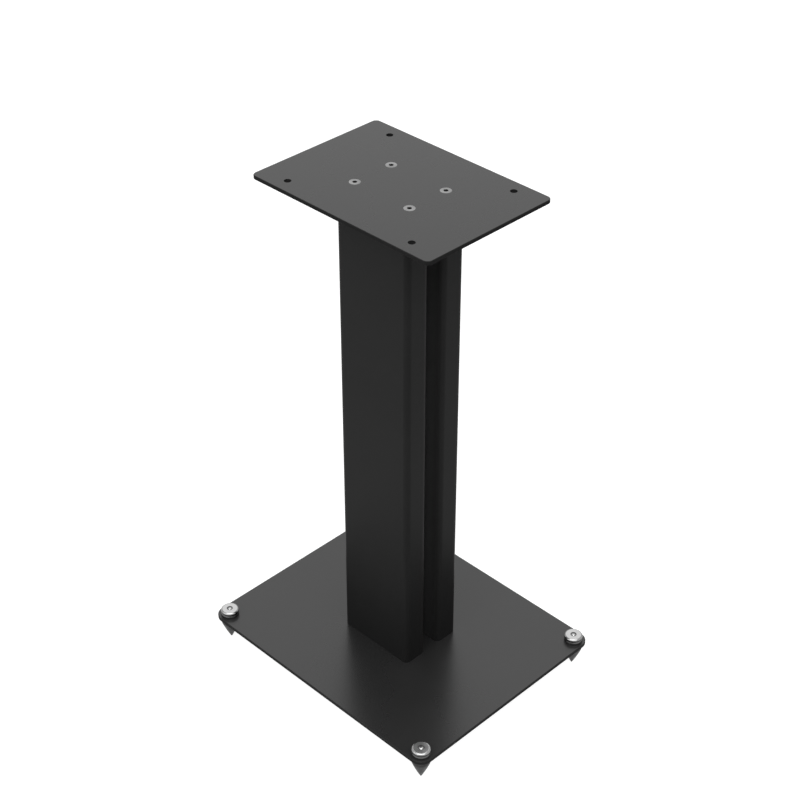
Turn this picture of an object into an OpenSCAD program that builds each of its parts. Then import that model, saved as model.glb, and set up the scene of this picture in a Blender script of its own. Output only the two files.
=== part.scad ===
// Loudspeaker stand: a top plate on two upright rectangular tubes with a cable gap between
// them, on a wide base plate that is levelled by four spiked feet.
// Z = 0 is the floor under the spike tips, +Z is up, and the front faces -Y.

/* [Top plate] */
// Width of the top plate
top_w = 172; // [130:1:220]
// Depth of the top plate
top_d = 242; // [190:1:300]
// Thickness of the top plate
top_t = 4.5; // [4:0.5:8]
// Corner radius of the top plate
top_r = 6; // [2:0.5:14]
// Distance of the corner holes from the plate's left and right edges
hole_inset_x = 16; // [10:0.5:30]
// Distance of the corner holes from the plate's front and rear edges
hole_inset_y = 36; // [10:0.5:60]
// Diameter of the corner holes
hole_dia = 7.5; // [4:0.1:9]

/* [Base plate] */
// Width of the base plate
base_w = 277; // [240:1:360]
// Depth of the base plate
base_d = 340; // [300:1:420]
// Thickness of the base plate
base_t = 4.5; // [4:0.5:10]
// Corner radius of the base plate
base_r = 14; // [6:0.5:24]
// Height of the base plate's underside above the floor
base_clear = 30.8; // [26:0.1:40]

/* [Columns] */
// Height of the columns between the plates
col_h = 568; // [300:1:900]
// Depth of one column
col_d = 100; // [92:1:120]
// Thickness of one column
col_t = 30; // [24:0.5:40]
// Wall thickness of the tubes
col_wall = 2; // [1.5:0.1:3]
// Outer corner radius of the tubes
col_r = 6; // [3.5:0.5:10]
// Width of the cable gap between the columns
col_gap = 20; // [12:0.5:30]

/* [Screws] */
// Spacing of the screws along the depth
screw_y = 75; // [50:1:78]
// Thread diameter of the screws
screw_dia = 6; // [5:0.5:7]
// Diameter of the countersunk heads
head_dia = 12; // [11:0.1:13]
// Length of the screws
screw_len = 18; // [14:1:22]
// Width across the flats of the screws' sockets
screw_hex = 4; // [3:0.5:4]
// Thickness of the blocks inside the tube ends
block_h = 20; // [20:1:40]

/* [Feet] */
// Distance of each foot from the two edges of the base plate
foot_inset = 14; // [12:0.5:25]
// Diameter of the stud
stud_dia = 8; // [6:0.5:10]
// Diameter of the caps
cap_dia = 20.9; // [18:0.1:23]
// Height of the caps
cap_t = 6.3; // [6.2:0.1:10]
// Radius of the caps' upper edge
cap_round = 2.4; // [0.5:0.1:2.8]
// Width across the flats of the caps' sockets
cap_hex = 6; // [4:0.5:8]
// Diameter of the washers
washer_dia = 19.4; // [16:0.1:20.5]
// Thickness of the washers
washer_t = 1.2; // [1:0.1:3]
// Diameter of the spikes' shoulders
spike_dia = 20.8; // [16:0.1:24]
// Swelling of the cone's side over a straight cone
spike_bulge = 0.48; // [0:0.02:1]
// Height that a foot can be turned up
foot_travel = 2.5; // [1:0.5:4]

/* [Hidden] */

eps = 0.01;
round_fn = 24;
hex_fn = 6;

// Heights of the faces that the pieces stand on.
base_top = base_clear + base_t;
col_top = base_top + col_h;
stand_top = col_top + top_t;

// Sides: -1 is left or front, +1 is right or rear.
left = -1;
right = 1;
front = -1;
rear = 1;

plate_chamfer = 0.5;
thread_gap = 0.05;
hole_x = top_w / 2 - hole_inset_x;
hole_y = top_d / 2 - hole_inset_y;
col_x = (col_gap + col_t) / 2;

// Inside of a column. The blocks touch its flat walls and stay clear of its corners.
bore_t = col_t - 2 * col_wall;
bore_d = col_d - 2 * col_wall;
bore_r = col_r - col_wall;
block_corner_gap = 1.5;

foot_x = base_w / 2 - foot_inset;
foot_y = base_d / 2 - foot_inset;

// Countersunk screws: a short land at the rim of the head, then a cone at 45 degrees.
head_land = 0.3;
head_sink = 0.1;
head_h = (head_dia - screw_dia) / 2;
screw_hole_dia = screw_dia + 0.4;
screw_socket_h = 2.2;
screw_chamfer = 0.8;

// Feet: the washer lies on the base plate, the cap on the washer, and the stud runs down
// through the plate to the shoulder of the spike, which stays clear of the plate.
shoulder_gap = 0.7;
shoulder_z = base_clear - foot_travel - shoulder_gap;
shoulder_h = 4.3;
shoulder_chamfer = 0.4;
neck_dia = stud_dia + 2;
neck_h = 0.6;
tip_dia = 0.8;
cone_steps = 6;
stud_chamfer = 0.7;
cap_z = base_top + washer_t;
cap_bore_h = 2.8;
cap_socket_h = 2;
cap_drill_dia = 2.8;
cap_drill_slope = 30;
cap_drill_h = cap_drill_dia / 2 * tan(cap_drill_slope);
cap_edge = 0.3;
cap_flange_h = 1.1;
cap_slope_h = 0.8;
cap_waist_h = 1.3;
cap_waist = 0.5;
cap_lip_gap = 0.1;

// Upright prism with rounded corners, standing on z = 0.
module prism(w, d, h, r) {
    translate([0, 0, h / 2]) {
        cube([w - 2 * r, d, h], center = true);
        cube([w, d - 2 * r, h], center = true);
    }
    for (x = [-1, 1], y = [-1, 1])
        translate([x * (w / 2 - r), y * (d / 2 - r), 0])
            cylinder(h = h, r = r, $fn = round_fn);
}

// Bar along X whose upper and lower long edges are chamfered, standing on z = 0.
module chamfered_bar(length, width, t) {
    half = width / 2;
    c = plate_chamfer;
    rotate([90, 0, 90])
        translate([0, 0, -length / 2])
            linear_extrude(length)
                polygon([
                    [c - half, 0], [half - c, 0], [half, c],
                    [half, t - c], [half - c, t], [c - half, t],
                    [-half, t - c], [-half, c]]);
}

// Plate with rounded corners and a small chamfer round both faces, standing on z = 0.
module slab(w, d, t, r) {
    c = plate_chamfer;
    chamfered_bar(w - 2 * r, d, t);
    rotate([0, 0, 90])
        chamfered_bar(d - 2 * r, w, t);
    for (x = [-1, 1], y = [-1, 1])
        translate([x * (w / 2 - r), y * (d / 2 - r), 0])
            rotate_extrude($fn = round_fn)
                polygon([[0, 0], [r - c, 0], [r, c], [r, t - c], [r - c, t], [0, t]]);
}

// Through hole with a cone at its lower end, for a screw that is put in from below.
module countersunk_hole(t) {
    translate([0, 0, -eps])
        cylinder(h = t + 2 * eps, d = screw_hole_dia, $fn = round_fn);
    translate([0, 0, -eps])
        cylinder(h = head_sink + head_land + eps, r = head_dia / 2 + thread_gap, $fn = round_fn);
    translate([0, 0, head_sink + head_land])
        cylinder(h = head_h, r1 = head_dia / 2, r2 = screw_dia / 2, $fn = round_fn);
}

// Places its children at the two screws of a column.
module at_screws(x) {
    for (y = [-1, 1])
        translate([x, y * screw_y / 2, 0])
            children();
}

module top_plate() {
    color("dimgray")
        translate([0, 0, col_top])
            difference() {
                slab(top_w, top_d, top_t, top_r);
                for (x = [-hole_x, hole_x], y = [-hole_y, hole_y])
                    translate([x, y, -eps])
                        cylinder(h = top_t + 2 * eps, d = hole_dia, $fn = round_fn);
                for (x = [-col_x, col_x])
                    at_screws(x)
                        translate([0, 0, top_t])
                            mirror([0, 0, 1])
                                countersunk_hole(top_t);
            }
}

module base_plate() {
    color("dimgray")
        translate([0, 0, base_clear])
            difference() {
                slab(base_w, base_d, base_t, base_r);
                for (x = [-col_x, col_x])
                    at_screws(x)
                        countersunk_hole(base_t);
                for (x = [-foot_x, foot_x], y = [-foot_y, foot_y])
                    translate([x, y, -eps])
                        cylinder(h = base_t + 2 * eps, r = stud_dia / 2 + thread_gap,
                            $fn = round_fn);
            }
}

module column(side) {
    color("slategray")
        translate([side * col_x, 0, base_top])
            difference() {
                prism(col_t, col_d, col_h, col_r);
                translate([0, 0, -eps])
                    prism(bore_t, bore_d, col_h + 2 * eps, bore_r);
            }
}

// Solid block welded into a tube end, tapped right through for two screws.
module tube_block(side, z) {
    color("darkkhaki")
        translate([side * col_x, 0, z])
            difference() {
                prism(bore_t, bore_d, block_h, bore_r + block_corner_gap);
                at_screws(0)
                    translate([0, 0, -eps])
                        cylinder(h = block_h + 2 * eps, r = screw_dia / 2 + thread_gap,
                            $fn = round_fn);
            }
}

// Countersunk screw with its head's face on z = 0 and its shank pointing up.
module screw() {
    head_r = head_dia / 2;
    shank_r = screw_dia / 2;
    difference() {
        rotate_extrude($fn = round_fn)
            polygon([
                [0, 0], [head_r, 0], [head_r, head_land], [shank_r, head_land + head_h],
                [shank_r, screw_len - screw_chamfer], [shank_r - screw_chamfer, screw_len],
                [0, screw_len]]);
        translate([0, 0, -eps])
            cylinder(h = screw_socket_h, d = screw_hex / cos(180 / hex_fn), $fn = hex_fn);
    }
}

module top_screws() {
    color("silver")
        for (x = [-col_x, col_x])
            at_screws(x)
                translate([0, 0, stand_top - head_sink])
                    mirror([0, 0, 1])
                        screw();
}

module base_screws() {
    color("silver")
        for (x = [-col_x, col_x])
            at_screws(x)
                translate([0, 0, base_clear + head_sink])
                    screw();
}

// Places its children on the axis of a foot.
module at_foot(side, end) {
    translate([side * foot_x, end * foot_y, 0])
        children();
}

// Washer that is captive on the stud: it rises with the cap but doesn't turn with it.
module washer(side, end) {
    color("black")
        at_foot(side, end)
            translate([0, 0, base_top])
                difference() {
                    cylinder(h = washer_t, d = washer_dia, $fn = round_fn);
                    translate([0, 0, -eps])
                        cylinder(h = washer_t + 2 * eps, r = stud_dia / 2 + thread_gap,
                            $fn = round_fn);
                }
}

// Radius of the cone, with t running from 0 at the shoulder to 1 at the tip.
function cone_r(t) =
    spike_dia / 2 * (1 - t) + tip_dia / 2 * t + spike_bulge * 4 * t * (1 - t);

// Turned spike: a cone with slightly swelling sides, a shoulder, and a stud in one piece.
module spike(side, end) {
    cone_h = shoulder_z - shoulder_h;
    shoulder_r = spike_dia / 2;
    stud_r = stud_dia / 2;
    stud_top = cap_z + cap_bore_h;
    cone = [for (i = [cone_steps:-1:0]) [cone_r(i / cone_steps), cone_h * (1 - i / cone_steps)]];
    color("darkslategray")
        at_foot(side, end)
            rotate_extrude($fn = round_fn)
                polygon(concat(
                    [[0, 0]], cone,
                    [[shoulder_r, shoulder_z - shoulder_chamfer],
                    [shoulder_r - shoulder_chamfer, shoulder_z],
                    [neck_dia / 2, shoulder_z], [stud_r, shoulder_z + neck_h],
                    [stud_r, stud_top - stud_chamfer], [stud_r - stud_chamfer, stud_top],
                    [0, stud_top]]));
}

// Cap with a flange, a narrow waist and a rounded upper edge. It has a blind bore for the stud
// below, and above a hexagon socket whose floor keeps the point of the drill.
module cap(side, end) {
    cap_r = cap_dia / 2;
    round_z = cap_t - cap_round;
    waist_r = cap_r - cap_waist;
    waist_z = cap_flange_h + cap_slope_h;
    lip_z = waist_z + cap_waist_h;
    color("gainsboro")
        at_foot(side, end)
            translate([0, 0, cap_z])
                difference() {
                    rotate_extrude($fn = round_fn) {
                        polygon([
                            [0, 0], [cap_r - cap_edge, 0], [cap_r, cap_edge],
                            [cap_r, cap_flange_h], [waist_r, waist_z], [waist_r, lip_z],
                            [cap_r, lip_z + cap_lip_gap], [cap_r, round_z],
                            [cap_r - cap_round, cap_t], [0, cap_t]]);
                        translate([cap_r - cap_round, round_z])
                            intersection() {
                                circle(r = cap_round, $fn = round_fn);
                                square(cap_round);
                            }
                    }
                    translate([0, 0, -eps])
                        cylinder(h = cap_bore_h + eps, d = stud_dia, $fn = round_fn);
                    translate([0, 0, cap_t - cap_socket_h])
                        cylinder(h = cap_socket_h + eps, d = cap_hex / cos(180 / hex_fn),
                            $fn = hex_fn);
                    translate([0, 0, cap_t - cap_socket_h - cap_drill_h])
                        cylinder(h = cap_drill_h, r1 = 0, r2 = cap_drill_dia / 2, $fn = round_fn);
                }
}

top_plate();
base_plate();
column(left);  // left_column
column(right);  // right_column
tube_block(left, col_top - block_h);  // left_top_block
tube_block(right, col_top - block_h);  // right_top_block
tube_block(left, base_top);  // left_bottom_block
tube_block(right, base_top);  // right_bottom_block
top_screws();
base_screws();
washer(left, front);  // front_left_washer
spike(left, front);  // front_left_spike
cap(left, front);  // front_left_cap
washer(right, front);  // front_right_washer
spike(right, front);  // front_right_spike
cap(right, front);  // front_right_cap
washer(left, rear);  // rear_left_washer
spike(left, rear);  // rear_left_spike
cap(left, rear);  // rear_left_cap
washer(right, rear);  // rear_right_washer
spike(right, rear);  // rear_right_spike
cap(right, rear);  // rear_right_cap
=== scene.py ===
import math
from collections import namedtuple

import bmesh
import bpy
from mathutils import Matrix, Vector


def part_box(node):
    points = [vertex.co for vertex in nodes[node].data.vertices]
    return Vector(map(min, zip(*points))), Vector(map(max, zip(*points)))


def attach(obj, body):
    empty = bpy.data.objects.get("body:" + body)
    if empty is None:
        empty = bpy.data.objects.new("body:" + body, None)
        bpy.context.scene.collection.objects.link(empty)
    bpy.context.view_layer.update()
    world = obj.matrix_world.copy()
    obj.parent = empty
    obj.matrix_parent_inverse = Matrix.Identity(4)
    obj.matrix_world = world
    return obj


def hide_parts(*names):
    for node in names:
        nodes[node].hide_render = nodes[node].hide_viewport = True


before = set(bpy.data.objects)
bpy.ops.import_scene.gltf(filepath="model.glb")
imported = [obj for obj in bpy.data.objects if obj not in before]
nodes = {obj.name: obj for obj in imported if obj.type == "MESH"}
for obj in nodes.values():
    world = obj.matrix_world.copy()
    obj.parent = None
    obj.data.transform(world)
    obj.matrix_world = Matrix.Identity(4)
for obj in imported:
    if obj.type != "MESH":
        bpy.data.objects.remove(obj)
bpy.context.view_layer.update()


# Node helpers

class Shade:
    """A material's node tree with short calls for the nodes that this scene uses."""

    def __init__(self, name):
        self.mat = bpy.data.materials.new(name)
        self.mat.use_nodes = True
        self.tree = self.mat.node_tree
        self.tree.nodes.clear()
        self.out = self.node("ShaderNodeOutputMaterial")
        self.coord = self.node("ShaderNodeTexCoord").outputs["Object"]

    def node(self, kind, **settings):
        n = self.tree.nodes.new(kind)
        for key, value in settings.items():
            setattr(n, key, value)
        return n

    def put(self, socket, value):
        if isinstance(value, bpy.types.NodeSocket):
            self.tree.links.new(value, socket)
        else:
            socket.default_value = value

    def math(self, op, a, b=0.0, clamp=False):
        n = self.node("ShaderNodeMath", operation=op, use_clamp=clamp)
        self.put(n.inputs[0], a)
        self.put(n.inputs[1], b)
        return n.outputs[0]

    def axes(self):
        n = self.node("ShaderNodeSeparateXYZ")
        self.put(n.inputs[0], self.coord)
        return n.outputs

    def upward(self):
        """Z of the true normal: 1 where a face looks straight up and -1 straight down."""
        n = self.node("ShaderNodeSeparateXYZ")
        self.put(n.inputs[0], self.node("ShaderNodeNewGeometry").outputs["True Normal"])
        return n.outputs["Z"]

    def stretch(self, scale):
        n = self.node("ShaderNodeMapping")
        self.put(n.inputs["Vector"], self.coord)
        n.inputs["Scale"].default_value = scale
        return n.outputs[0]

    def noise(self, scale, detail, rough, vector=None):
        n = self.node("ShaderNodeTexNoise")
        self.put(n.inputs["Vector"], vector or self.coord)
        n.inputs["Scale"].default_value = scale
        n.inputs["Detail"].default_value = detail
        n.inputs["Roughness"].default_value = rough
        return n.outputs["Fac"]

    def remap(self, value, lo, hi, to_lo, to_hi):
        n = self.node("ShaderNodeMapRange", interpolation_type="SMOOTHSTEP")
        self.put(n.inputs["Value"], value)
        for key, v in (("From Min", lo), ("From Max", hi), ("To Min", to_lo), ("To Max", to_hi)):
            n.inputs[key].default_value = v
        return n.outputs["Result"]

    def blend(self, fac, a, b):
        n = self.node("ShaderNodeMix", data_type="RGBA")
        self.put(n.inputs["Factor"], fac)
        self.put(n.inputs["A"], a)
        self.put(n.inputs["B"], b)
        return n.outputs["Result"]

    def bump(self, height, depth, strength):
        n = self.node("ShaderNodeBump")
        n.inputs["Strength"].default_value = strength
        n.inputs["Distance"].default_value = depth
        self.put(n.inputs["Height"], height)
        return n.outputs[0]

    def surface(self, **sockets):
        n = self.node("ShaderNodeBsdfPrincipled")
        for key, value in sockets.items():
            self.put(n.inputs[key.replace("_", " ")], value)
        self.put(self.out.inputs["Surface"], n.outputs[0])
        return self.mat


def grey(level):
    return (level, level, level, 1.0)


# Materials. Lengths are in metres, and a noise's scale is in cells to a metre.

# Parts of a noise's range over which a look goes from one end to the other.
MOST, WIDE = (0.3, 0.7), (0.25, 0.75)

CLOUD_SCALE, SPECK_SCALE, PEBBLE_SCALE, WEAR_SCALE = 7.0, 900.0, 1500.0, 95.0
CLOUD_DARK, CLOUD_LIGHT = 0.92, 1.08
CLOUD_SMOOTH, CLOUD_ROUGH = 0.93, 1.07
SPECK_RANGE, SPECK_SHARE, SPECK_LIGHT = (0.62, 0.8), 0.35, 1.8
PEBBLE_DEPTH = 0.00003
WEAR_REACH, WEAR_TURN, WEAR_PATCH, WEAR_SHARE = 0.0012, (0.2, 0.6), (0.5, 0.72), 0.2
FACE_TURN, SIDE_SPECULAR, FACE_SPECULAR, SIDE_ROUGHER = (0.6, 0.98), 0.06, 0.5, 0.5
GAP_DEEP, GAP_MOUTH, GAP_SOFT, GAP_SKIN = 0.03, 0.052, 0.0006, 0.00003

SMUDGE_SCALE, SMUDGE_RANGE = 120.0, (0.35, 0.7)
LATHE_STRETCH = (0.02, 0.02, 1.0)

NYLON_SCALE, NYLON_DEPTH = 400.0, 0.00005
NYLON_DARK, NYLON_LIGHT = 0.008, 0.02
NYLON_SMOOTH, NYLON_ROUGH = 0.42, 0.58

MILL_SCALE, MILL_RANGE, SAW_SCALE, SAW_DEPTH = 60.0, (0.35, 0.65), 700.0, 0.00008
SAW_STRETCH = (1.0, 0.05, 0.3)
MILL_DARK, MILL_LIGHT = (0.10, 0.09, 0.085, 1), (0.22, 0.21, 0.20, 1)
MILL_SMOOTH, MILL_ROUGH = 0.35, 0.6

PaintedGapLight = namedtuple("PaintedGapLight", "x mouth deep")
PaintedZone = namedtuple("PaintedZone", "height soft base rough")


def edge_wear(s, half_w, half_d):
    """1 at the rim of a plate of that half size and 0 further in, broken up by noise."""
    x, y, _ = s.axes()
    rim = s.math("MINIMUM", s.math("SUBTRACT", half_w, s.math("ABSOLUTE", x)),
                 s.math("SUBTRACT", half_d, s.math("ABSOLUTE", y)))
    near = s.math("MULTIPLY", s.remap(rim, 0.0, WEAR_REACH, 1.0, 0.0),
                  s.remap(s.upward(), *WEAR_TURN, 0.0, 1.0))
    patchy = s.remap(s.noise(WEAR_SCALE, detail=4.0, rough=0.6), *WEAR_PATCH, 0.0, 1.0)
    return s.math("MULTIPLY", near, patchy, clamp=True)


def powder_coat(name, base, worn, rough, ior, half=None, gap=None):
    """Fine-grained satin powder coat: a pebbled bump, slow changes of shade and fine specks.
    half, a plate's half sizes, gives it worn rims and dulls its cut sides and its underside.
    gap gives another shade to what lies within x of the middle, at the gap's mouth and deep in:
    painted light, lighter deep in the gap to make up for the shade that falls there."""
    s = Shade(name)
    cloud = s.noise(CLOUD_SCALE, detail=4.0, rough=0.55)
    speck = s.noise(SPECK_SCALE, detail=2.0, rough=0.6)
    colour = s.blend(s.remap(cloud, *MOST, 0.0, 1.0),
                     grey(base * CLOUD_DARK), grey(base * CLOUD_LIGHT))
    colour = s.blend(s.remap(speck, *SPECK_RANGE, 0.0, SPECK_SHARE),
                     colour, grey(base * SPECK_LIGHT))
    shine = s.remap(cloud, *WIDE, rough * CLOUD_SMOOTH, rough * CLOUD_ROUGH)
    gloss = {}
    # Painted light on the columns' faces in the gap between them, lighter deeper in.
    if gap:
        x, y, _ = s.axes()
        inside = s.remap(s.math("ABSOLUTE", x), gap.x, gap.x + GAP_SOFT, 1.0, 0.0)
        deep = s.remap(s.math("ABSOLUTE", y), GAP_DEEP, GAP_MOUTH, 1.0, 0.0)
        colour = s.blend(inside, colour, s.blend(deep, grey(gap.mouth), grey(gap.deep)))
    if half:
        wear = edge_wear(s, half[0], half[1])
        colour = s.blend(s.math("MULTIPLY", wear, WEAR_SHARE), colour, grey(worn))
        up = s.upward()
        gloss["Specular_IOR_Level"] = s.remap(up, *FACE_TURN, SIDE_SPECULAR, FACE_SPECULAR)
        shine = s.math("ADD", shine, s.remap(up, *FACE_TURN, SIDE_ROUGHER, 0.0))
    pebble = s.bump(s.noise(PEBBLE_SCALE, detail=2.0, rough=0.5), PEBBLE_DEPTH, strength=0.35)
    return s.surface(Base_Color=colour, Roughness=shine, IOR=ior, Normal=pebble, **gloss)


def turned_metal(name, base, rough, pitch, groove, stain=0.0, band=0.8,
                 zones=(), smear=0.2, edge=1.0):
    """Turned metal with lathe rings up the axis, pitch apart and groove deep, and smudges.
    stain darkens the smudges and smear varies the roughness with them. band is the share of
    the shade that is left in the dark rings. edge tints what mirrors at a grazing angle.
    Each zone, from the top down, gives the metal below its height another shade and roughness,
    which paints reflection and shade onto it."""
    s = Shade(name)
    rings = s.noise(1.0 / pitch, detail=2.0, rough=0.6, vector=s.stretch(LATHE_STRETCH))
    smudge = s.noise(SMUDGE_SCALE, detail=4.0, rough=0.6)
    colour = s.blend(s.remap(smudge, *SMUDGE_RANGE, 0.0, 1.0), grey(base * (1 - stain)), grey(base))
    shine = s.remap(smudge, *MOST, rough * (1 - smear), rough * (1 + smear))
    # Painted reflection and shade: each zone paints its own darker shade below its height.
    for zone in zones:
        low = s.remap(s.axes()[2], zone.height - zone.soft, zone.height + zone.soft, 1.0, 0.0)
        colour = s.blend(low, colour, grey(zone.base))
        shine = s.math("ADD", shine, s.math("MULTIPLY", low, zone.rough - rough))
        rough = zone.rough
    colour = s.blend(s.remap(rings, *MOST, 0.0, 1.0), colour, s.blend(band, grey(0.0), colour))
    normal = s.bump(rings, groove, strength=0.5)
    return s.surface(Base_Color=colour, Metallic=1.0, Roughness=shine, Normal=normal,
                     Specular_Tint=grey(edge))


def nylon(name):
    """Black nylon with a moulded, slightly mottled skin."""
    s = Shade(name)
    mottle = s.noise(NYLON_SCALE, detail=3.0, rough=0.6)
    colour = s.blend(mottle, grey(NYLON_DARK), grey(NYLON_LIGHT))
    shine = s.remap(mottle, *MOST, NYLON_SMOOTH, NYLON_ROUGH)
    return s.surface(Base_Color=colour, Roughness=shine, IOR=1.5,
                     Normal=s.bump(mottle, NYLON_DEPTH, strength=0.4))


def mill_steel(name):
    """Sawn bar with mill scale."""
    s = Shade(name)
    patches = s.noise(MILL_SCALE, detail=5.0, rough=0.65)
    saw = s.noise(SAW_SCALE, detail=2.0, rough=0.5, vector=s.stretch(SAW_STRETCH))
    colour = s.blend(s.remap(patches, *MILL_RANGE, 0.0, 1.0), MILL_DARK, MILL_LIGHT)
    return s.surface(Base_Color=colour, Metallic=0.85,
                     Roughness=s.remap(patches, *MOST, MILL_SMOOTH, MILL_ROUGH),
                     Normal=s.bump(saw, SAW_DEPTH, strength=0.4))


_, top_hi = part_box("top_plate")
_, base_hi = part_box("base_plate")
column_lo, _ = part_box("right_column")
CAP_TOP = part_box("front_left_cap")[1].z

# Painted reflection on the cap: its rounded edge, its side and waist, and its flange are shaded
# darker than its top, for the darker surroundings they mirror. Then painted shade on the stud's end
# round its button.
CAP_PAINTED_REFLECTION_ZONES = (PaintedZone(height=CAP_TOP - 0.00008, soft=0.00005, base=0.30, rough=0.2),
             PaintedZone(height=CAP_TOP - 0.0017, soft=0.0004, base=0.04, rough=0.34),
             PaintedZone(height=CAP_TOP - 0.0042, soft=0.0002, base=0.12, rough=0.34))
# Painted shade: the stud's flat end round its button, in the gap inside the cap's hole, is darker.
STUD_END_PAINTED_SHADE_ZONES = (PaintedZone(height=CAP_TOP - 0.00045, soft=0.00005, base=0.13, rough=0.55),)
CHROME_RINGS = {"pitch": 0.0004, "groove": 0.000002, "stain": 0.03, "band": 0.95}
ZINC_RINGS = {"pitch": 0.00025, "groove": 0.00002, "stain": 0.15}

MATERIALS = {
    "plate_coat": powder_coat("plate_coat_top", base=0.0105, worn=0.04, rough=0.28, ior=1.44,
                              half=(top_hi.x, top_hi.y)),
    # Painted light: the base plate gets a lighter, glossier copy of the plates' coat, to make up
    # for the lower light that falls on it.
    "base_plate_painted_light_coat": powder_coat("plate_coat_base_painted_light", base=0.0145, worn=0.04, rough=0.28, ior=1.55,
                             half=(base_hi.x, base_hi.y)),
    # The columns' coat, with painted light on their faces in the gap between them.
    "column_coat": powder_coat("column_coat_satin", base=0.0122, worn=0.03, rough=0.42, ior=1.125,
                               gap=PaintedGapLight(x=column_lo.x + GAP_SKIN, mouth=0.0135, deep=0.046)),
    "block_steel": mill_steel("block_steel_sawn"),
    "screw_steel": turned_metal("screw_steel_zinc", base=0.31, rough=0.36, **ZINC_RINGS),
    # Painted shade: the countersink, walls, floor and drill point of a screw's socket take this
    # darker metal.
    "screw_socket": turned_metal("screw_socket_painted_shade", base=0.06, rough=0.5, **ZINC_RINGS),
    "washer": nylon("washer_nylon"),
    "spike_steel": turned_metal("spike_steel_black", base=0.072, rough=0.34, pitch=0.0016,
                                groove=0.00005, stain=0.15, band=0.4, edge=0.75),
    # The caps' chrome, with painted reflection on its rounded edge, side, waist and flange.
    "cap_chrome": turned_metal("cap_chrome_plated", base=0.52, rough=0.30, zones=CAP_PAINTED_REFLECTION_ZONES,
                               smear=0.06, **CHROME_RINGS),
    # Painted shade: the wall, step and bore inside a cap's hole take this darker chrome.
    "cap_bore_painted_shade": turned_metal("cap_chrome_bore_painted_shade", base=0.12, rough=0.45, **CHROME_RINGS),
    # The stud's end: bright metal with painted shade round its button.
    "stud_end": turned_metal("spike_stud_end", base=0.5, rough=0.2, zones=STUD_END_PAINTED_SHADE_ZONES,
                             smear=0.06, **CHROME_RINGS),
}


def paint(obj, material):
    for slot in obj.material_slots:
        slot.material = material


for name, obj in nodes.items():
    kept = obj.material_slots[0].material.name.split(".")[0]
    # The base plate takes its lighter copy of the plates' coat: painted light.
    paint(obj, MATERIALS["base_plate_painted_light_coat" if name == "base_plate" else kept])


# Turned pieces

# Sizes and heights in metres, as in the nodes that the pieces stand for.
cap_lo, cap_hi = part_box("front_left_cap")
CONE_TOP, SHOULDER_Z, SHOULDER_R = 0.0233, 0.0276, 0.0104
SHOULDER_CHAMFER, NECK_R, NECK_H = 0.0004, 0.005, 0.0006
TIP_R, BULGE = 0.0004, 0.00048
CAP_Z, CAP_T, CAP_R = cap_lo.z, cap_hi.z - cap_lo.z, (cap_hi.x - cap_lo.x) / 2
CAP_ROUND, CAP_EDGE, CAP_BORE = 0.0024, 0.0003, 0.0028
CAP_WAIST, CAP_FLANGE, CAP_SLOPE, CAP_LIP = 0.0005, 0.0011, 0.0008, 0.0033
STUD_R, STUD_TOP, STUD_CHAMFER = 0.004, CAP_Z + CAP_BORE, 0.0007
HEAD_R, HEAD_LAND, HEAD_H = 0.006, 0.0003, 0.003
SCREW_R, SCREW_LEN, SCREW_HEX, SCREW_SOCKET = 0.003, 0.018, 0.004, 0.0022
SCREW_CHAMFER = 0.0008

# Forms that only this scene has: the cap's through hole, the stud's end in it with a domed
# button, the threads, the countersunk mouth and drill point of a screw's socket, and small edges.
CAP_HOLE_R, STUD_END_GAP, STUD_END_SINK = 0.0035, 0.00005, 0.0006
BUTTON_R, BUTTON_H, DOME_R = 0.0021, 0.0002, 0.004
FOOT_PITCH, FOOT_THREAD, FOOT_THREAD_START = 0.00125, 0.00068, 0.0001
SCREW_PITCH, SCREW_THREAD, SCREW_THREAD_END = 0.001, 0.00054, 0.0002
THREAD_STEPS, FLANK_SLOPE, CREST_FLAT = 8, 1.35, 0.1
TIP_FLAT, TIP_RISE, LIP_CORNER = 0.5, 0.4, 0.0001
HEAD_EDGE, MOUTH_MARGIN = 0.00008, 0.0001
DRILL_SHARE, DRILL_TIP_R, DRILL_H = 0.4, 0.0002, 0.0004

FOOT_SIDES, SCREW_SIDES, SHARP_DEGREES = 96, 48, 32.0
CONE_STEPS, ROUND_STEPS, DOME_STEPS = 28, 12, 10
# CAP_INSIDE and SCREW_INSIDE count the last bands, inside a cap's hole and a screw's socket, that
# take a darker material: painted shade.
CAP_INSIDE, SCREW_INSIDE = 3, 4


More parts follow.
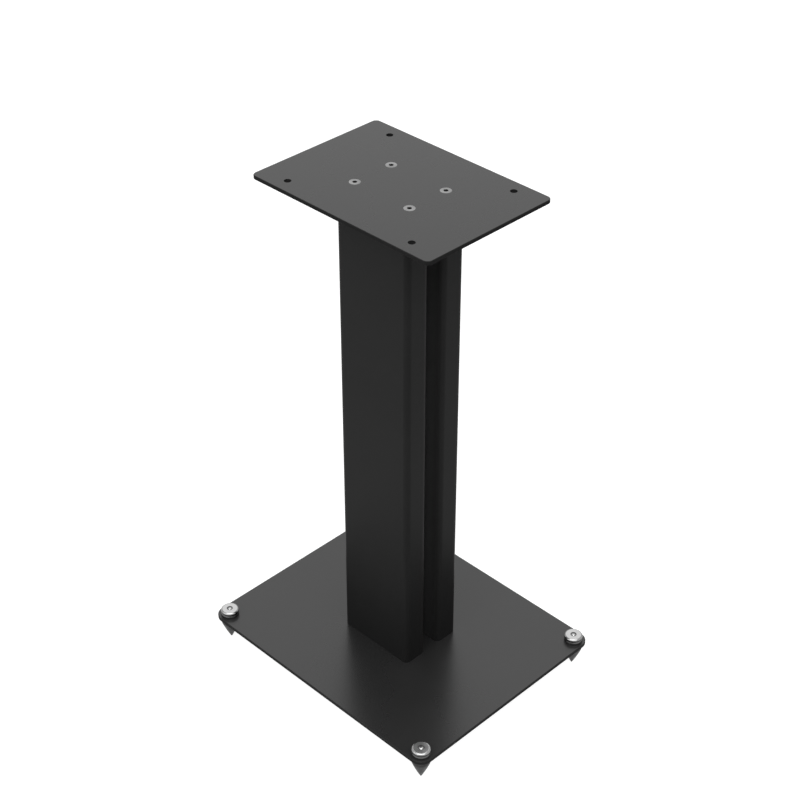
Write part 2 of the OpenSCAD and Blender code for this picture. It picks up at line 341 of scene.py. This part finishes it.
def ring_solid(name, rings, count, material, origin, upside_down=False, last=None, hollow=False):
    """Closed solid from rings about its own axis. A ring gives (radius, height) for an angle.
    A hollow solid has a hole right through, and its last ring meets its first.
    last = (n, material) gives the last n bands of faces, and the end face, their own material."""
    bm = bmesh.new()
    turn = -1 if upside_down else 1
    loops = []
    for place_at in rings:
        loop = []
        for i in range(count):
            a = 2 * math.pi * i / count
            r, z = place_at(a)
            loop.append(bm.verts.new((origin[0] + r * math.cos(a),
                                      origin[1] + turn * r * math.sin(a),
                                      origin[2] + turn * z)))
        loops.append(loop)
    bands = list(zip(loops, loops[1:] + loops[:1] if hollow else loops[1:]))
    last_from = len(bands) - last[0] if last else len(bands)
    for k, (low, high) in enumerate(bands):
        for i in range(count):
            j = (i + 1) % count
            bm.faces.new((low[i], low[j], high[j], high[i])).material_index = k >= last_from
    if not hollow:
        for loop in (loops[0], loops[-1]):
            hub = bm.verts.new(sum((v.co for v in loop), Vector()) / count)
            for i in range(count):
                face = bm.faces.new((loop[i], loop[(i + 1) % count], hub))
                face.material_index = bool(last) and loop is loops[-1]
    bmesh.ops.recalc_face_normals(bm, faces=bm.faces)
    for f in bm.faces:
        f.smooth = True
    mesh = bpy.data.meshes.new(name)
    bm.to_mesh(mesh)
    bm.free()
    mesh.materials.append(material)
    if last:
        mesh.materials.append(last[1])
    mesh.set_sharp_from_angle(angle=math.radians(SHARP_DEGREES))
    obj = bpy.data.objects.new(name, mesh)
    bpy.context.scene.collection.objects.link(obj)
    return obj


def ring(r, z):
    return lambda a: (r, z)


def hexagon(across, a):
    """Distance from the axis to the side of a hexagon of that width across the flats."""
    sixth = math.pi / 3
    return across / 2 / math.cos((a + sixth / 2) % sixth - sixth / 2)


def hex_ring(across, z):
    return lambda a: (hexagon(across, a), z)


def hex_mouth(across, mouth, z):
    """Where a 45 degree countersink of radius mouth meets the sides of a hexagon socket."""
    return lambda a: (hexagon(across, a), z - (mouth - hexagon(across, a)))


def thread(z0, z1, crest, depth, pitch):
    """Rings along a right-hand thread that runs out over half a turn at both ends."""
    def winding(z):
        fade = min(1.0, (z - z0) / (pitch / 2), (z1 - z) / (pitch / 2))

        def at(a):
            turn = ((z - z0) / pitch - a / (2 * math.pi)) % 1.0
            wave = min(max(abs(2 * turn - 1) * FLANK_SLOPE - CREST_FLAT, 0.0), 1.0)
            return (crest - depth * fade * (1 - wave), z)
        return at
    total = round((z1 - z0) / pitch * THREAD_STEPS)
    return [winding(z0 + (z1 - z0) * k / total) for k in range(total + 1)]


def spike_rings():
    rings = [ring(TIP_R * TIP_FLAT, 0.0), ring(TIP_R, TIP_R * TIP_RISE)]
    for i in range(1, CONE_STEPS + 1):
        t = i / CONE_STEPS
        r = TIP_R * (1 - t) + SHOULDER_R * t + BULGE * 4 * t * (1 - t)
        rings.append(ring(r, CONE_TOP * t))
    rings += [ring(SHOULDER_R, SHOULDER_Z - SHOULDER_CHAMFER),
              ring(SHOULDER_R - SHOULDER_CHAMFER, SHOULDER_Z),
              ring(NECK_R, SHOULDER_Z), ring(STUD_R, SHOULDER_Z + NECK_H)]
    rings += thread(SHOULDER_Z + NECK_H + FOOT_THREAD_START, STUD_TOP - STUD_CHAMFER, STUD_R,
                    FOOT_THREAD, FOOT_PITCH)
    end_r = CAP_HOLE_R - STUD_END_GAP
    end_z = CAP_Z + CAP_T - STUD_END_SINK
    low = math.acos(BUTTON_R / DOME_R)
    dome_z = end_z + BUTTON_H - DOME_R * math.sin(low)
    rings += [ring(end_r, STUD_TOP), ring(end_r, end_z), ring(BUTTON_R, end_z)]
    for i in range(DOME_STEPS):
        a = low + (math.pi / 2 - low) * i / DOME_STEPS
        rings.append(ring(DOME_R * math.cos(a), dome_z + DOME_R * math.sin(a)))
    return rings


def cap_rings():
    top = CAP_Z + CAP_T
    rings = [ring(STUD_R, CAP_Z),
             ring(CAP_R - CAP_EDGE, CAP_Z), ring(CAP_R, CAP_Z + CAP_EDGE),
             ring(CAP_R, CAP_Z + CAP_FLANGE),
             ring(CAP_R - CAP_WAIST, CAP_Z + CAP_FLANGE + CAP_SLOPE),
             ring(CAP_R - CAP_WAIST, CAP_Z + CAP_LIP - LIP_CORNER), ring(CAP_R, CAP_Z + CAP_LIP)]
    for i in range(ROUND_STEPS + 1):
        a = math.pi / 2 * i / ROUND_STEPS
        rings.append(ring(CAP_R - CAP_ROUND * (1 - math.cos(a)),
                          top - CAP_ROUND * (1 - math.sin(a))))
    return rings + [ring(CAP_HOLE_R, top), ring(CAP_HOLE_R, CAP_Z + CAP_BORE),
                    ring(STUD_R, CAP_Z + CAP_BORE)]


def screw_rings():
    """Countersunk socket screw with the face of its head at height 0."""
    mouth = SCREW_HEX / 2 / math.cos(math.pi / 6) + MOUTH_MARGIN
    shank = -(HEAD_LAND + HEAD_H)
    rings = [ring(SCREW_R - SCREW_CHAMFER, -SCREW_LEN)]
    rings += thread(-SCREW_LEN + SCREW_CHAMFER, shank - SCREW_THREAD_END, SCREW_R, SCREW_THREAD,
                    SCREW_PITCH)
    rings += [ring(SCREW_R, shank), ring(HEAD_R, -HEAD_LAND), ring(HEAD_R, -HEAD_EDGE),
              ring(HEAD_R - HEAD_EDGE, 0.0), ring(mouth, 0.0), hex_mouth(SCREW_HEX, mouth, 0.0),
              hex_ring(SCREW_HEX, -SCREW_SOCKET), ring(SCREW_HEX * DRILL_SHARE, -SCREW_SOCKET),
              ring(DRILL_TIP_R, -SCREW_SOCKET - DRILL_H)]
    return rings


for foot in ("front_left", "front_right", "rear_left", "rear_right"):
    lo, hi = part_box(foot + "_cap")
    axis = ((lo.x + hi.x) / 2, (lo.y + hi.y) / 2, 0.0)
    for piece, rings, slot, last in (
            ("spike", spike_rings(), "spike_steel", (DOME_STEPS + 2, MATERIALS["stud_end"])),
            ("cap", cap_rings(), "cap_chrome", (CAP_INSIDE, MATERIALS["cap_bore_painted_shade"]))):
        obj = ring_solid(f"{foot}_turned_{piece}", rings, FOOT_SIDES, MATERIALS[slot], axis,
                         last=last, hollow=piece == "cap")
        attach(obj, foot + "_foot")
        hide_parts(f"{foot}_{piece}")

for group, below in (("top_screws", False), ("base_screws", True)):
    lo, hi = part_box(group)
    count = 0
    for x in (lo.x + HEAD_R, hi.x - HEAD_R):
        for y in (lo.y + HEAD_R, hi.y - HEAD_R):
            count += 1
            obj = ring_solid(f"{group}_{count}", screw_rings(), SCREW_SIDES,
                             MATERIALS["screw_steel"], (x, y, lo.z if below else hi.z), below,
                             last=(SCREW_INSIDE, MATERIALS["screw_socket"]))
            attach(obj, "stand")
            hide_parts(group)


# Floor, light and camera

WORLD_FILL, WORLD_SEEN = 0.25, 1.0
FLOOR_HALF = 20.0
FLOOR_LIT, FLOOR_GLOW, FLOOR_SHADOW = 0.8, 0.935, 0.27
MIDDLE = Vector((0.0, 0.0, 0.3))
SENSOR_MM, LENS_MM = 36.0, 78.75
CAMERA_PLACE = (-1.0662, -1.0654, 1.4116)
PITCH_DOWN, YAW = 35.0459, 45.0163
CLIP_NEAR, CLIP_FAR = 0.05, 100.0


def seen_rays(tree):
    """1 for a camera, glossy or transmission ray and 0 for the light that falls on things."""
    path = tree.nodes.new("ShaderNodeLightPath")
    total = path.outputs["Is Camera Ray"]
    for key in ("Is Glossy Ray", "Is Transmission Ray"):
        n = tree.nodes.new("ShaderNodeMath")
        n.operation = "ADD"
        n.use_clamp = True
        tree.links.new(total, n.inputs[0])
        tree.links.new(path.outputs[key], n.inputs[1])
        total = n.outputs[0]
    return total


def show_or_light(tree, output_kind, lighting, shown):
    """Ends a tree with one shader for the light that falls on things and one for what is seen."""
    pick = tree.nodes.new("ShaderNodeMixShader")
    end = tree.nodes.new(output_kind)
    tree.links.new(seen_rays(tree), pick.inputs["Fac"])
    tree.links.new(lighting.outputs[0], pick.inputs[1])
    tree.links.new(shown.outputs[0], pick.inputs[2])
    tree.links.new(pick.outputs[0], end.inputs["Surface"])


floor_mesh = bpy.data.meshes.new("studio_floor")
floor_mesh.from_pydata([(-FLOOR_HALF, -FLOOR_HALF, 0), (FLOOR_HALF, -FLOOR_HALF, 0),
                        (FLOOR_HALF, FLOOR_HALF, 0), (-FLOOR_HALF, FLOOR_HALF, 0)], [],
                       [(0, 1, 2, 3)])
floor = bpy.data.objects.new("studio_floor", floor_mesh)
bpy.context.scene.collection.objects.link(floor)
floor_mat = bpy.data.materials.new("studio_floor_white")
floor_mat.use_nodes = True
tree = floor_mat.node_tree
tree.nodes.clear()
lit = tree.nodes.new("ShaderNodeBsdfDiffuse")
lit.inputs["Color"].default_value = grey(FLOOR_LIT)
shadowed = tree.nodes.new("ShaderNodeBsdfDiffuse")
shadowed.inputs["Color"].default_value = grey(FLOOR_SHADOW)
glow = tree.nodes.new("ShaderNodeEmission")
glow.inputs["Strength"].default_value = FLOOR_GLOW
both = tree.nodes.new("ShaderNodeAddShader")
tree.links.new(shadowed.outputs[0], both.inputs[0])
tree.links.new(glow.outputs[0], both.inputs[1])
show_or_light(tree, "ShaderNodeOutputMaterial", lit, both)
floor_mesh.materials.append(floor_mat)

world = bpy.data.worlds.new("studio")
bpy.context.scene.world = world
world.use_nodes = True
tree = world.node_tree
tree.nodes.clear()
fill = tree.nodes.new("ShaderNodeBackground")
fill.inputs["Strength"].default_value = WORLD_FILL
white = tree.nodes.new("ShaderNodeBackground")
white.inputs["Strength"].default_value = WORLD_SEEN
for background in (fill, white):
    background.inputs["Color"].default_value = grey(1.0)
show_or_light(tree, "ShaderNodeOutputWorld", fill, white)


def softbox(name, place, width, height, watts):
    """Rectangular lamp that looks at the middle of the stand."""
    light = bpy.data.lights.new(name, "AREA")
    light.shape = "RECTANGLE"
    light.size, light.size_y = width, height
    light.energy = watts
    obj = bpy.data.objects.new(name, light)
    bpy.context.scene.collection.objects.link(obj)
    obj.location = place
    obj.rotation_euler = (MIDDLE - obj.location).to_track_quat("-Z", "Y").to_euler()


softbox("back_softbox", place=(1.75, 1.75, 2.0), width=2.6, height=1.8, watts=4.0)
softbox("left_softbox", place=(-2.6, 0.6, 1.5), width=3.0, height=2.4, watts=26.0)
softbox("top_softbox", place=(-0.15, -0.15, 3.4), width=2.4, height=2.4, watts=45.0)
softbox("front_softbox", place=(-1.2, -1.2, 2.8), width=4.6, height=1.7, watts=81.0)

camera_data = bpy.data.cameras.new("camera")
camera_data.sensor_width = SENSOR_MM
camera_data.lens = LENS_MM
camera = bpy.data.objects.new("camera", camera_data)
bpy.context.scene.collection.objects.link(camera)
camera.location = CAMERA_PLACE
camera.rotation_euler = (math.radians(90 - PITCH_DOWN), 0.0, math.radians(-YAW))
camera_data.clip_start, camera_data.clip_end = CLIP_NEAR, CLIP_FAR
bpy.context.scene.camera = camera
bpy.context.scene.view_settings.view_transform = "Standard"
